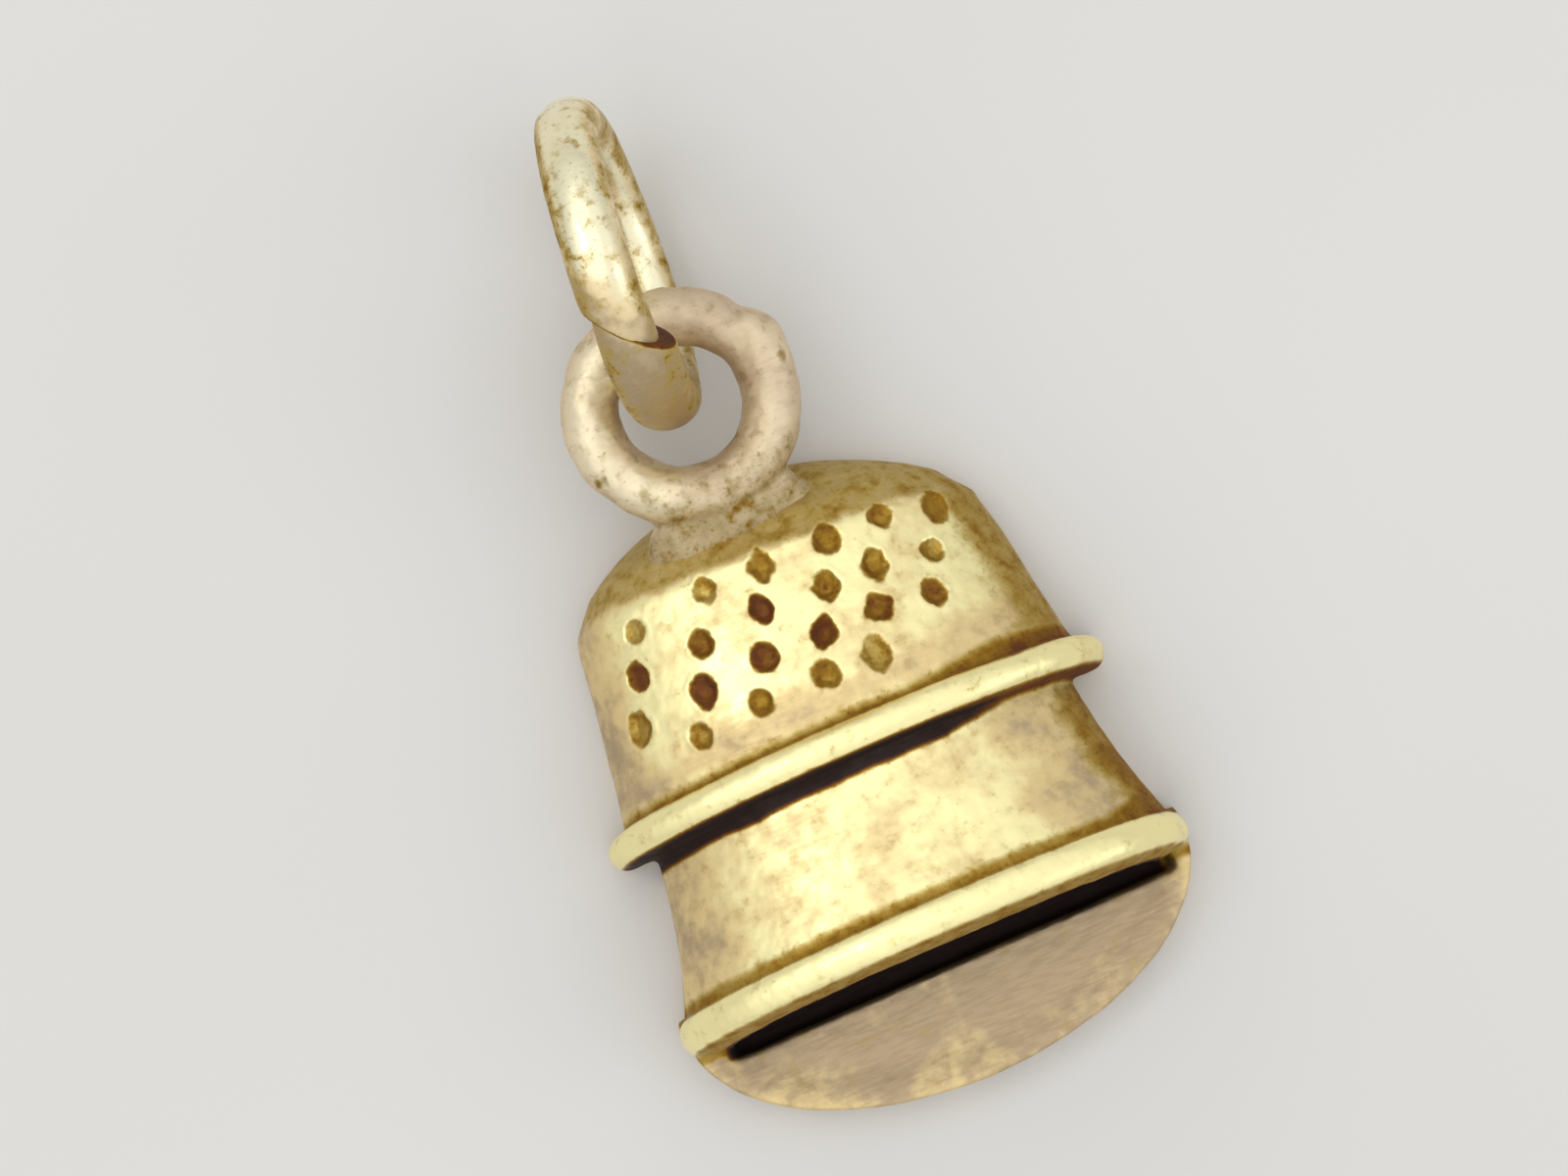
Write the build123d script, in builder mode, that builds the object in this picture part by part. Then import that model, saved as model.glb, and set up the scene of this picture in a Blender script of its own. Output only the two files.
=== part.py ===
from build123d import *
import os
from math import cos, radians, sqrt, tan

# A cast brass thimble charm with its hanging eye and the split ring that it hangs by.
#
# The charm is a half-round relief of a sewing thimble: dimpled cap, two beads, a flared waist and an open
# mouth, on a flat back. It is drawn in perspective, as if seen a little from its mouth, so its cross
# sections lean toward the crown and the far side of the mouth shows below the near rim as a dished lip.
#
# Frame, in millimetres: the charm lies on its back. +Z rises out of the relief, +Y runs from the mouth to
# the crown and on to the ring, and +X is across. The origin is on the back, under the lower bead.

# ---- thimble: radii of its turned outline, and their places along the axis ----
BEAD_HALF = 0.28  # half the thickness of a bead
LOW_BEAD_R = 5.18  # lower bead, around the mouth
LOW_BEAD_FOOT_R = 4.92  # where the lower bead meets the mouth's edge
WAIST_LOW_R = 4.98
WAIST_MID_R = 4.50
WAIST_TOP_R = 4.25
UP_BEAD_Y = 3.74  # upper bead, between waist and cap
UP_BEAD_R = 5.05
UP_BEAD_FOOT_R = 4.80  # how far the upper bead overhangs the waist
CAP_LOW_R = 4.62
SHOULDER_R = 4.00
SHOULDER_Y = 7.55
DOME_EDGE_R = 3.50  # the bevel runs from the shoulder to the edge of the dome
DOME_EDGE_Y = 8.22
CROWN_Y = 9.40

# ---- relief ----
RELIEF = 0.58  # height of a section over its half width
LEAN = 8.0  # degrees by which the sections lean toward the crown
CROWN_LIFT = 0.1  # height of the outline's plane at the top of the crown
MOUTH_LIFT = CROWN_LIFT + CROWN_Y * tan(radians(LEAN))
SIDE_DROP = 2 * MOUTH_LIFT  # enough for the straight sides to pass through the flat back

# ---- mouth ----
WALL = 0.72  # the near wall, at the rim
HOLLOW_START_Y = -2 * BEAD_HALF  # in front of the near rim, so that the hollow opens through it
POCKET_DEPTH = 2.4  # how far the mouth goes in past the lower bead
POCKET_END_R = 3.7
POCKET_RELIEF = 0.50
LIP_HALF_WIDTH = 5.12  # far lip of the mouth, half an ellipse
LIP_REACH = 2.90
LIP_WIDTH = 0.38
LIP_HEIGHT = 1.05
DISH_CUT = 2 * LIP_HEIGHT  # height of the cut that opens the dished inside
LENS_EDGE_Z = 0.88  # the dished inside of the far wall: its height beside the lip,
POCKET_FLOOR_Z = 0.50  # and at the far end of the pocket

# ---- dimples of the cap ----
PIT_R = 0.27
PIT_SINK = 0.06  # how far a pit's centre lies over the surface
PIT_COLUMNS = 6
PIT_ROWS = 4
PIT_PITCH = 1.26
PIT_ROW_PITCH = 0.78
PIT_TOP_Y = 7.47  # the first row, at the middle of the face
PIT_ROW_SHIFT = 0.36  # each row starts this much further left than the one above it
PIT_FIRST_X = -2.93
PIT_ROW_DROP = 0.018  # the rows curve: their drop, over the square of the distance from the middle
PIT_EDGE = 0.30  # pits nearer than this to the cap's outline are left out

# ---- hanging eye ----
EYE_R = 1.69  # radius of its centre line
EYE_WIRE_R = 0.575
EYE_X = -0.40
EYE_Y = 11.0
EYE_Z = 2.20
FOOT_HALF_WIDTH = 1.45  # the foot that joins the eye to the crown
FOOT_HALF_HEIGHT = 0.95
FOOT_TOP_HALF_WIDTH = 0.95
FOOT_TOP_HALF_HEIGHT = 0.50
FOOT_Y = 8.20
FOOT_Z = 1.35

# ---- jump ring ----
RING_R = 2.75  # radius of its centre line
RING_WIRE_R = 0.515
RING_LEAN = 6.0  # degrees from upright, its top to the left
RING_TURN = 4.5  # degrees from the charm's axis, its far end to the right
RING_X = -0.42
RING_Y = 13.86
RING_Z = RING_R * cos(radians(RING_LEAN)) + RING_WIRE_R
SEAM = 0.09  # the gap where the ring's two cut ends meet
SEAM_AT = 62.0  # degrees round the ring, from its end over the eye up toward its top
SEAM_SLANT = -40.0  # degrees from square across the wire
SAW_DEPTH = 4 * RING_WIRE_R  # the cut's reach through the wire and along the ring's axis
SAW_WIDTH = 6 * RING_WIRE_R


def cap_radius(y):
    """Half width of the cap at a place along the axis, between the upper bead and the shoulder."""
    along = (y - UP_BEAD_Y - BEAD_HALF) / (SHOULDER_Y - UP_BEAD_Y - BEAD_HALF)
    return CAP_LOW_R + (SHOULDER_R - CAP_LOW_R) * along


def pit_centres():
    """Places of the pits, just over the cap's leaning elliptical face."""
    spots = []
    for row in range(PIT_ROWS):
        for column in range(PIT_COLUMNS):
            across = PIT_FIRST_X + column * PIT_PITCH - row * PIT_ROW_SHIFT
            along = PIT_TOP_Y - row * PIT_ROW_PITCH - PIT_ROW_DROP * across**2
            radius = cap_radius(along)
            if abs(across) > radius - PIT_EDGE:
                continue
            height = RELIEF * sqrt(radius**2 - across**2)
            # square to the face, in the section's own plane
            normal = Vector(across * RELIEF, height / RELIEF).normalized()
            spots.append((across + normal.X * PIT_SINK, along, height + normal.Y * PIT_SINK))
    return spots


# ---- thimble_body ----

# The turned outline, revolved through half a turn and flattened to the relief's height.
with BuildPart() as relief:
    with BuildSketch(Plane.XY):
        with BuildLine():
            Line((0, -BEAD_HALF), (LOW_BEAD_FOOT_R, -BEAD_HALF))
            ThreePointArc((LOW_BEAD_FOOT_R, -BEAD_HALF), (LOW_BEAD_R, 0), (WAIST_LOW_R, BEAD_HALF))
            ThreePointArc(
                (WAIST_LOW_R, BEAD_HALF),
                (WAIST_MID_R, UP_BEAD_Y / 2),
                (WAIST_TOP_R, UP_BEAD_Y - BEAD_HALF),
            )
            Line((WAIST_TOP_R, UP_BEAD_Y - BEAD_HALF), (UP_BEAD_FOOT_R, UP_BEAD_Y - BEAD_HALF))
            ThreePointArc(
                (UP_BEAD_FOOT_R, UP_BEAD_Y - BEAD_HALF),
                (UP_BEAD_R, UP_BEAD_Y),
                (CAP_LOW_R, UP_BEAD_Y + BEAD_HALF),
            )
            Polyline(
                (CAP_LOW_R, UP_BEAD_Y + BEAD_HALF),
                (SHOULDER_R, SHOULDER_Y),
                (DOME_EDGE_R, DOME_EDGE_Y),
            )
            RadiusArc(
                (DOME_EDGE_R, DOME_EDGE_Y),
                (0, CROWN_Y),
                -(DOME_EDGE_R**2 + (CROWN_Y - DOME_EDGE_Y) ** 2) / (2 * (CROWN_Y - DOME_EDGE_Y)),
            )
            Line((0, CROWN_Y), (0, -BEAD_HALF))
        make_face()
    revolve(axis=Axis.Y, revolution_arc=-180)
    scale(by=(1, 1, RELIEF))

# The hollow of the mouth under the near rim, flattened in the same way but turned all the way round.
with BuildPart() as hollow:
    with BuildSketch(Plane.XY):
        with BuildLine():
            Polyline(
                (0, HOLLOW_START_Y),
                (LOW_BEAD_R - WALL, HOLLOW_START_Y),
                (LOW_BEAD_R - WALL, 0),
                (POCKET_END_R, POCKET_DEPTH - WALL),
                (0, POCKET_DEPTH),
                (0, HOLLOW_START_Y),
            )
        make_face()
    revolve(axis=Axis.Y)
    scale(by=(1, 1, POCKET_RELIEF))

# All of the space inside the mouth: the hollow, and the dished inside of the far wall in front of it.
FLOOR_SLOPE = (LENS_EDGE_Z - POCKET_FLOOR_Z) / (LIP_REACH - LIP_WIDTH + POCKET_DEPTH)
pocket_floor = Plane(
    origin=(0, LIP_WIDTH - LIP_REACH, LENS_EDGE_Z),
    x_dir=(1, 0, 0),
    z_dir=(0, FLOOR_SLOPE, 1),
)
with BuildPart() as pocket:
    with Locations((0, 0, MOUTH_LIFT)):
        add(hollow.part, rotation=(-LEAN, 0, 0))
    with BuildSketch(Plane.XY):
        with BuildLine():
            EllipticalCenterArc(
                (0, 0),
                LIP_HALF_WIDTH - 2 * LIP_WIDTH,
                LIP_REACH - LIP_WIDTH,
                start_angle=180,
                arc_size=180,
            )
            Line((LIP_HALF_WIDTH - 2 * LIP_WIDTH, 0), (2 * LIP_WIDTH - LIP_HALF_WIDTH, 0))
        make_face()
    extrude(amount=DISH_CUT)
    split(bisect_by=pocket_floor, keep=Keep.TOP)

with BuildPart() as thimble_body:
    with Locations((0, 0, MOUTH_LIFT)):
        add(relief.part, rotation=(-LEAN, 0, 0))
    # below the outline's plane, the sides run straight down to the flat back
    outline = thimble_body.faces().sort_by(Axis.Z)[0]
    extrude(to_extrude=outline, amount=SIDE_DROP, dir=(0, 0, -1))
    split(bisect_by=Plane.XY, keep=Keep.TOP)
    # far side of the mouth
    with BuildSketch(Plane.XY):
        with BuildLine():
            EllipticalCenterArc((0, 0), LIP_HALF_WIDTH, LIP_REACH, start_angle=180, arc_size=180)
            Line((LIP_HALF_WIDTH, 0), (-LIP_HALF_WIDTH, 0))
        make_face()
    extrude(amount=LIP_HEIGHT)
    add(pocket.part, mode=Mode.SUBTRACT)
    # dimples
    face = Plane(origin=(0, 0, MOUTH_LIFT)).rotated((-LEAN, 0, 0))
    with Locations(face):
        with Locations(*pit_centres()):
            Sphere(PIT_R, mode=Mode.SUBTRACT)
thimble_body.part.label = "thimble_body"

# ---- hanging_eye: a closed ring flat above the back, on a foot that runs into the crown ----
with BuildPart() as hanging_eye:
    with BuildSketch(Plane.XZ.offset(-FOOT_Y)):
        with Locations((EYE_X, FOOT_Z)):
            Ellipse(FOOT_HALF_WIDTH, FOOT_HALF_HEIGHT)
    with BuildSketch(Plane.XZ.offset(EYE_R - EYE_Y)):
        with Locations((EYE_X, EYE_Z)):
            Ellipse(FOOT_TOP_HALF_WIDTH, FOOT_TOP_HALF_HEIGHT)
    loft()
    with Locations((EYE_X, EYE_Y, EYE_Z)):
        Torus(EYE_R, EYE_WIRE_R)
    add(thimble_body.part, mode=Mode.SUBTRACT)
hanging_eye.part.label = "hanging_eye"

# ---- jump_ring: round wire bent to a circle and cut through on a slant ----
ring_axis = Vector(1, 0, 0).rotate(Axis.Y, -RING_LEAN).rotate(Axis.Z, -RING_TURN)
ring_end = Vector(0, -1, 0).rotate(Axis.Z, -RING_TURN)
seam_out = ring_end.rotate(Axis((0, 0, 0), ring_axis), -SEAM_AT)
ring_centre = Vector(RING_X, RING_Y, RING_Z)
ring_plane = Plane(ring_centre, x_dir=seam_out, z_dir=ring_axis)
seam_plane = Plane(ring_centre + seam_out * RING_R, x_dir=seam_out, z_dir=ring_plane.y_dir)
with BuildPart() as jump_ring:
    with Locations(ring_plane):
        Torus(RING_R, RING_WIRE_R)
    with Locations(seam_plane):
        Box(SAW_DEPTH, SAW_WIDTH, SEAM, rotation=(SEAM_SLANT, 0, 0), mode=Mode.SUBTRACT)
jump_ring.part.label = "jump_ring"

os.makedirs("parts", exist_ok=True)
for piece in (thimble_body, hanging_eye, jump_ring):
    export_step(piece.part, f"parts/{piece.part.label}.step")
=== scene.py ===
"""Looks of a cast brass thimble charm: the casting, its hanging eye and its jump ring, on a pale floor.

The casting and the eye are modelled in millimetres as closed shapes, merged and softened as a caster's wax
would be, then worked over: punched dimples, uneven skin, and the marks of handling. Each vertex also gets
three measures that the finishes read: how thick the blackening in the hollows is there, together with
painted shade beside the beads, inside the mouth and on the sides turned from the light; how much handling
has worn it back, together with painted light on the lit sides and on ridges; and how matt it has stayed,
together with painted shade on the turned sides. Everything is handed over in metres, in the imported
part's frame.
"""

import logging
import math
from dataclasses import dataclass, field
from enum import Enum

import bmesh
import bpy
import numpy as np
from mathutils import Matrix, Vector, noise


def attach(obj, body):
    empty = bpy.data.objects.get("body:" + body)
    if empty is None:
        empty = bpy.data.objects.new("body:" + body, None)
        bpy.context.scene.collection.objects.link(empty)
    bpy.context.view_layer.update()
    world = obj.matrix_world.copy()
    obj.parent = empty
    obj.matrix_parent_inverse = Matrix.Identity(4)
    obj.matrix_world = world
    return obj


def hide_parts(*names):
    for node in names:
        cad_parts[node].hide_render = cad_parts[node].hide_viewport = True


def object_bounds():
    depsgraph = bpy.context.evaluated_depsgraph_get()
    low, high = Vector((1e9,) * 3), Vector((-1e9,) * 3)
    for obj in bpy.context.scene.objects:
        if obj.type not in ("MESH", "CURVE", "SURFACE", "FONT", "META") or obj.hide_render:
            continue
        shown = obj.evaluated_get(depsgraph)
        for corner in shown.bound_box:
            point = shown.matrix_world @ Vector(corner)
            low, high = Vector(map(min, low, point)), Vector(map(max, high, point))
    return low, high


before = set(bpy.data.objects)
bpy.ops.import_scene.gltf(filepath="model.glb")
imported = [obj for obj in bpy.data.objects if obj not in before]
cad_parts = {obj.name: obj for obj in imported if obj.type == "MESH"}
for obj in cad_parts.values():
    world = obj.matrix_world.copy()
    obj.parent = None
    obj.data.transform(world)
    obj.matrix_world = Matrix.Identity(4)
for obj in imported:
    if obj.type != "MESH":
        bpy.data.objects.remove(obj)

CAD_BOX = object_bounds()
MM = 0.001
Colour = tuple[float, float, float]
Level = float | np.ndarray
log = logging.getLogger("charm")


class Zone(Enum):
    """The measures that each vertex carries for the finishes, by attribute name: blackening with painted
    shade, wear with painted light, and mattness with painted shade.
    """

    BLACKENING_AND_SHADE = "blackening_and_shade"
    RUB_AND_LIGHT = "rub_and_light"
    DULL_AND_SHADE = "dull_and_shade"


# ---------------------------------------------------------------- numbers and meshes


def smooth_step(low: Level, high: Level, value: np.ndarray) -> np.ndarray:
    """A soft ramp.

    Args:
        low: where the ramp starts, at 0.
        high: where it ends, at 1. It may lie below low: the ramp then falls as the numbers rise.
        value: the numbers to put through it.

    Returns:
        An array of numbers from 0 to 1.
    """
    t = np.clip((value - low) / (high - low), 0.0, 1.0)
    return t * t * (3.0 - 2.0 * t)


def between(start: Level, full: Level, fading: Level, gone: Level, value: np.ndarray) -> np.ndarray:
    """A band with soft borders.

    Args:
        start: where the band starts to show.
        full: where it is whole.
        fading: where it starts to fade.
        gone: where it has gone.
        value: the numbers to put through it.

    Returns:
        An array of numbers from 0 to 1.
    """
    return smooth_step(start, full, value) * smooth_step(gone, fading, value)


def grain(points: np.ndarray, size: float, seed: float, octaves: int = 3) -> np.ndarray:
    """Smooth random relief at a set of points.

    Args:
        points: places in millimetres, one row each.
        size: the size of the largest features, in millimetres.
        seed: which of the endless patterns to take.
        octaves: how many finer layers to add.

    Returns:
        One number for each point, mostly from -1 to 1.
    """
    shift = Vector((seed * 7.31, seed * 3.17, seed * 5.77))
    scale = 1.0 / size
    return np.array(
        [noise.fractal(Vector(p) * scale + shift, 1.0, 2.0, octaves) for p in points.tolist()]
    )


@dataclass(frozen=True)
class Ripple:
    """One layer of a cast or drawn skin's unevenness. Lengths are in millimetres."""

    depth: float
    size: float
    seed: float
    octaves: int

    def lift(self, points: np.ndarray) -> np.ndarray:
        """How far it lifts the skin at each point."""
        return self.depth * grain(points, self.size, self.seed, self.octaves)


def lattice_faces(rows: int, columns: int, closed: bool, first: int = 0) -> list[tuple[int, ...]]:
    """The four-sided faces between neighbouring rows of points.

    Args:
        rows: how many rows there are.
        columns: how many points each row has.
        closed: whether each row joins up with itself.
        first: the number of the first point.

    Returns:
        The faces, as tuples of point numbers.
    """
    faces = []
    for i in range(rows - 1):
        for j in range(columns if closed else columns - 1):
            k = (j + 1) % columns
            a, b = first + i * columns, first + (i + 1) * columns
            faces.append((a + j, a + k, b + k, b + j))
    return faces


def mesh_from(name: str, points: np.ndarray, faces: list[tuple[int, ...]]) -> bpy.types.Mesh:
    """A mesh with its normals facing out.

    Args:
        name: what to call it.
        points: its vertices, one row each.
        faces: its faces, as tuples of vertex numbers.

    Returns:
        The new mesh.
    """
    mesh = bpy.data.meshes.new(name)
    mesh.from_pydata(points.tolist(), [], faces)
    work = bmesh.new()
    work.from_mesh(mesh)
    bmesh.ops.recalc_face_normals(work, faces=work.faces)
    work.to_mesh(mesh)
    work.free()
    return mesh


def read_points(mesh: bpy.types.Mesh) -> np.ndarray:
    """The mesh's vertices, one row each."""
    flat = np.empty(len(mesh.vertices) * 3)
    mesh.vertices.foreach_get("co", flat)
    return flat.reshape(-1, 3)


def write_points(mesh: bpy.types.Mesh, points: np.ndarray) -> None:
    """Puts the mesh's vertices at these points."""
    mesh.vertices.foreach_set("co", points.astype(np.float32).ravel())
    mesh.update()


def read_normals(mesh: bpy.types.Mesh) -> np.ndarray:
    """The mesh's vertex normals, one row each."""
    flat = np.empty(len(mesh.vertices) * 3, np.float32)
    mesh.vertex_normals.foreach_get("vector", flat)
    return flat.reshape(-1, 3).astype(float)


def merged(name: str, parts: list[bpy.types.Mesh], voxel: float, softening: int) -> bpy.types.Mesh:
    """Closed shapes that overlap, merged into one skin with softened edges.

    Args:
        name: what to call the result.
        parts: the closed shapes, which are used up.
        voxel: the size of the new faces, in millimetres.
        softening: how many passes of smoothing follow.

    Returns:
        The merged mesh.
    """
    work = bmesh.new()
    for part in parts:
        work.from_mesh(part)
        bpy.data.meshes.remove(part)
    whole = bpy.data.meshes.new(name + "_parts")
    work.to_mesh(whole)
    work.free()
    scratch = bpy.data.objects.new(name + "_scratch", whole)
    bpy.context.scene.collection.objects.link(scratch)
    skin = scratch.modifiers.new("skin", "REMESH")
    skin.mode = "VOXEL"
    skin.voxel_size = voxel
    soft = scratch.modifiers.new("soft", "SMOOTH")
    soft.factor = 0.5
    soft.iterations = softening
    evaluated = scratch.evaluated_get(bpy.context.evaluated_depsgraph_get())
    mesh = bpy.data.meshes.new_from_object(evaluated)
    mesh.name = name
    bpy.data.objects.remove(scratch)
    bpy.data.meshes.remove(whole)
    return mesh


def bend_of(mesh: bpy.types.Mesh, points: np.ndarray, reach: int) -> np.ndarray:
    """How hollow or how proud the skin is at each vertex.

    Args:
        mesh: the mesh, whose edges say which vertices are neighbours.
        points: its vertices, in millimetres.
        reach: how many rings of neighbours to average over.

    Returns:
        One number for each vertex, in millimetres: above 0 in a hollow, below 0 on an edge.
    """
    edges = np.empty(len(mesh.edges) * 2, np.int64)
    mesh.edges.foreach_get("vertices", edges)
    a, b = edges.reshape(-1, 2).T
    count = np.bincount(a, minlength=len(points)) + np.bincount(b, minlength=len(points))
    count = np.maximum(count, 1)[:, None]
    average = points.copy()
    for _ in range(reach):
        total = np.empty_like(average)
        for k in range(3):
            total[:, k] = np.bincount(a, average[b, k], len(points)) + np.bincount(
                b, average[a, k], len(points)
            )
        average = 0.5 * average + 0.5 * total / count
    return np.einsum("ij,ij->i", average - points, read_normals(mesh))


def finished_piece(
    name: str, mesh: bpy.types.Mesh, points: np.ndarray, zones: dict[Zone, np.ndarray]
) -> bpy.types.Object:
    """Turns a mesh in millimetres into a smooth-shaded object in metres that carries its zones.

    Args:
        name: what to call the object.
        mesh: its mesh.
        points: where its vertices go, in millimetres.
        zones: the measures of each vertex.

    Returns:
        The object, linked to the scene.
    """
    write_points(mesh, points * MM)
    for zone, values in zones.items():
        layer = mesh.attributes.new(zone.value, "FLOAT", "POINT")
        layer.data.foreach_set("value", np.clip(values, 0.0, 1.0).astype(np.float32))
    mesh.shade_smooth()
    piece = bpy.data.objects.new(name, mesh)
    bpy.context.scene.collection.objects.link(piece)
    return piece


# ---------------------------------------------------------------- finishes


class Nodes:
    """Writes a material's nodes in the order in which they are used."""

    def __init__(self, material: bpy.types.Material) -> None:
        """Starts an empty node tree on a material."""
        material.use_nodes = True
        self.tree = material.node_tree
        self.tree.nodes.clear()
        self.place = self.add("ShaderNodeTexCoord").outputs["Object"]

    def add(self, kind: str, **inputs: object) -> bpy.types.ShaderNode:
        """Adds a node.

        Args:
            kind: the node's type.
            inputs: its sockets by name, each a value or another node's output.

        Returns:
            The node.
        """
        node = self.tree.nodes.new(kind)
        for name, value in inputs.items():
            self.feed(node, name.replace("_", " "), value)
        return node

    def feed(self, node: bpy.types.ShaderNode, name: str | int, value: object) -> None:
        """Links an output to a socket, or sets the socket to a value."""
        if isinstance(value, bpy.types.NodeSocket):
            self.tree.links.new(value, node.inputs[name])
        else:
            node.inputs[name].default_value = value

    def zone(self, zone: Zone) -> bpy.types.NodeSocket:
        """One of the measures that the vertices carry."""
        node = self.add("ShaderNodeAttribute")
        node.attribute_name = zone.value
        return node.outputs["Fac"]

    def speckle(
        self, size: float, detail: float = 3.0, stretch: Colour = (1.0, 1.0, 1.0)
    ) -> bpy.types.NodeSocket:
        """Cloudy noise.

        Args:
            size: the size of its features, in millimetres.
            detail: how many finer layers it has.
            stretch: how much finer it is along each axis.

        Returns:
            A number around 0.5.
        """
        place = self.add("ShaderNodeMapping", Vector=self.place, Scale=stretch).outputs[0]
        node = self.add("ShaderNodeTexNoise", Vector=place, Scale=1.0 / (size * MM), Detail=detail)
        return node.outputs["Fac"]

    def math(self, operation: str, a: object, b: object = 0.0, clamp: bool = False) -> bpy.types.NodeSocket:
        """Arithmetic on two numbers.

        Args:
            operation: what to do with them.
            a: the first, a value or an output.
            b: the second.
            clamp: whether to keep the result from 0 to 1.

        Returns:
            The result.
        """
        node = self.add("ShaderNodeMath")
        node.operation = operation
        node.use_clamp = clamp
        self.feed(node, 0, a)
        self.feed(node, 1, b)
        return node.outputs[0]

    def ramp(
        self, value: object, low: float, high: float, start: float = 0.0, end: float = 1.0
    ) -> bpy.types.NodeSocket:
        """A soft ramp.

        Args:
            value: the number to put through it.
            low: where the ramp starts.
            high: where it ends.
            start: its result at low.
            end: its result at high.

        Returns:
            The result.
        """
        node = self.add("ShaderNodeMapRange")
        node.interpolation_type = "SMOOTHSTEP"
        for name, number in (("From Min", low), ("From Max", high), ("To Min", start), ("To Max", end)):
            node.inputs[name].default_value = number
        self.feed(node, "Value", value)
        return node.outputs[0]

    def mix(self, share: object, a: object, b: object) -> bpy.types.NodeSocket:
        """Mixes two colours.

        Args:
            share: how much of the second to take.
            a: the first, three numbers or an output.
            b: the second.

        Returns:
            The mixed colour.
        """
        node = self.add("ShaderNodeMix")
        node.data_type = "RGBA"
        self.feed(node, 0, share)
        for name, value in (("A_Color", a), ("B_Color", b)):
            socket = next(s for s in node.inputs if s.identifier == name)
            if isinstance(value, bpy.types.NodeSocket):
                self.tree.links.new(value, socket)
            else:
                socket.default_value = (*value, 1.0)
        return next(s for s in node.outputs if s.identifier == "Result_Color")

    def bump(self, height: bpy.types.NodeSocket, depth: float, below: object = None) -> bpy.types.NodeSocket:
        """A bumped normal.

        Args:
            height: the relief, from 0 to 1.
            depth: how deep it is, in millimetres.
            below: the normal to bump, if another bump goes before.

        Returns:
            The normal.
        """
        node = self.add("ShaderNodeBump", Height=height, Distance=depth * MM, Strength=1.0)
        if below is not None:
            self.feed(node, "Normal", below)
        return node.outputs[0]


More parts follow.
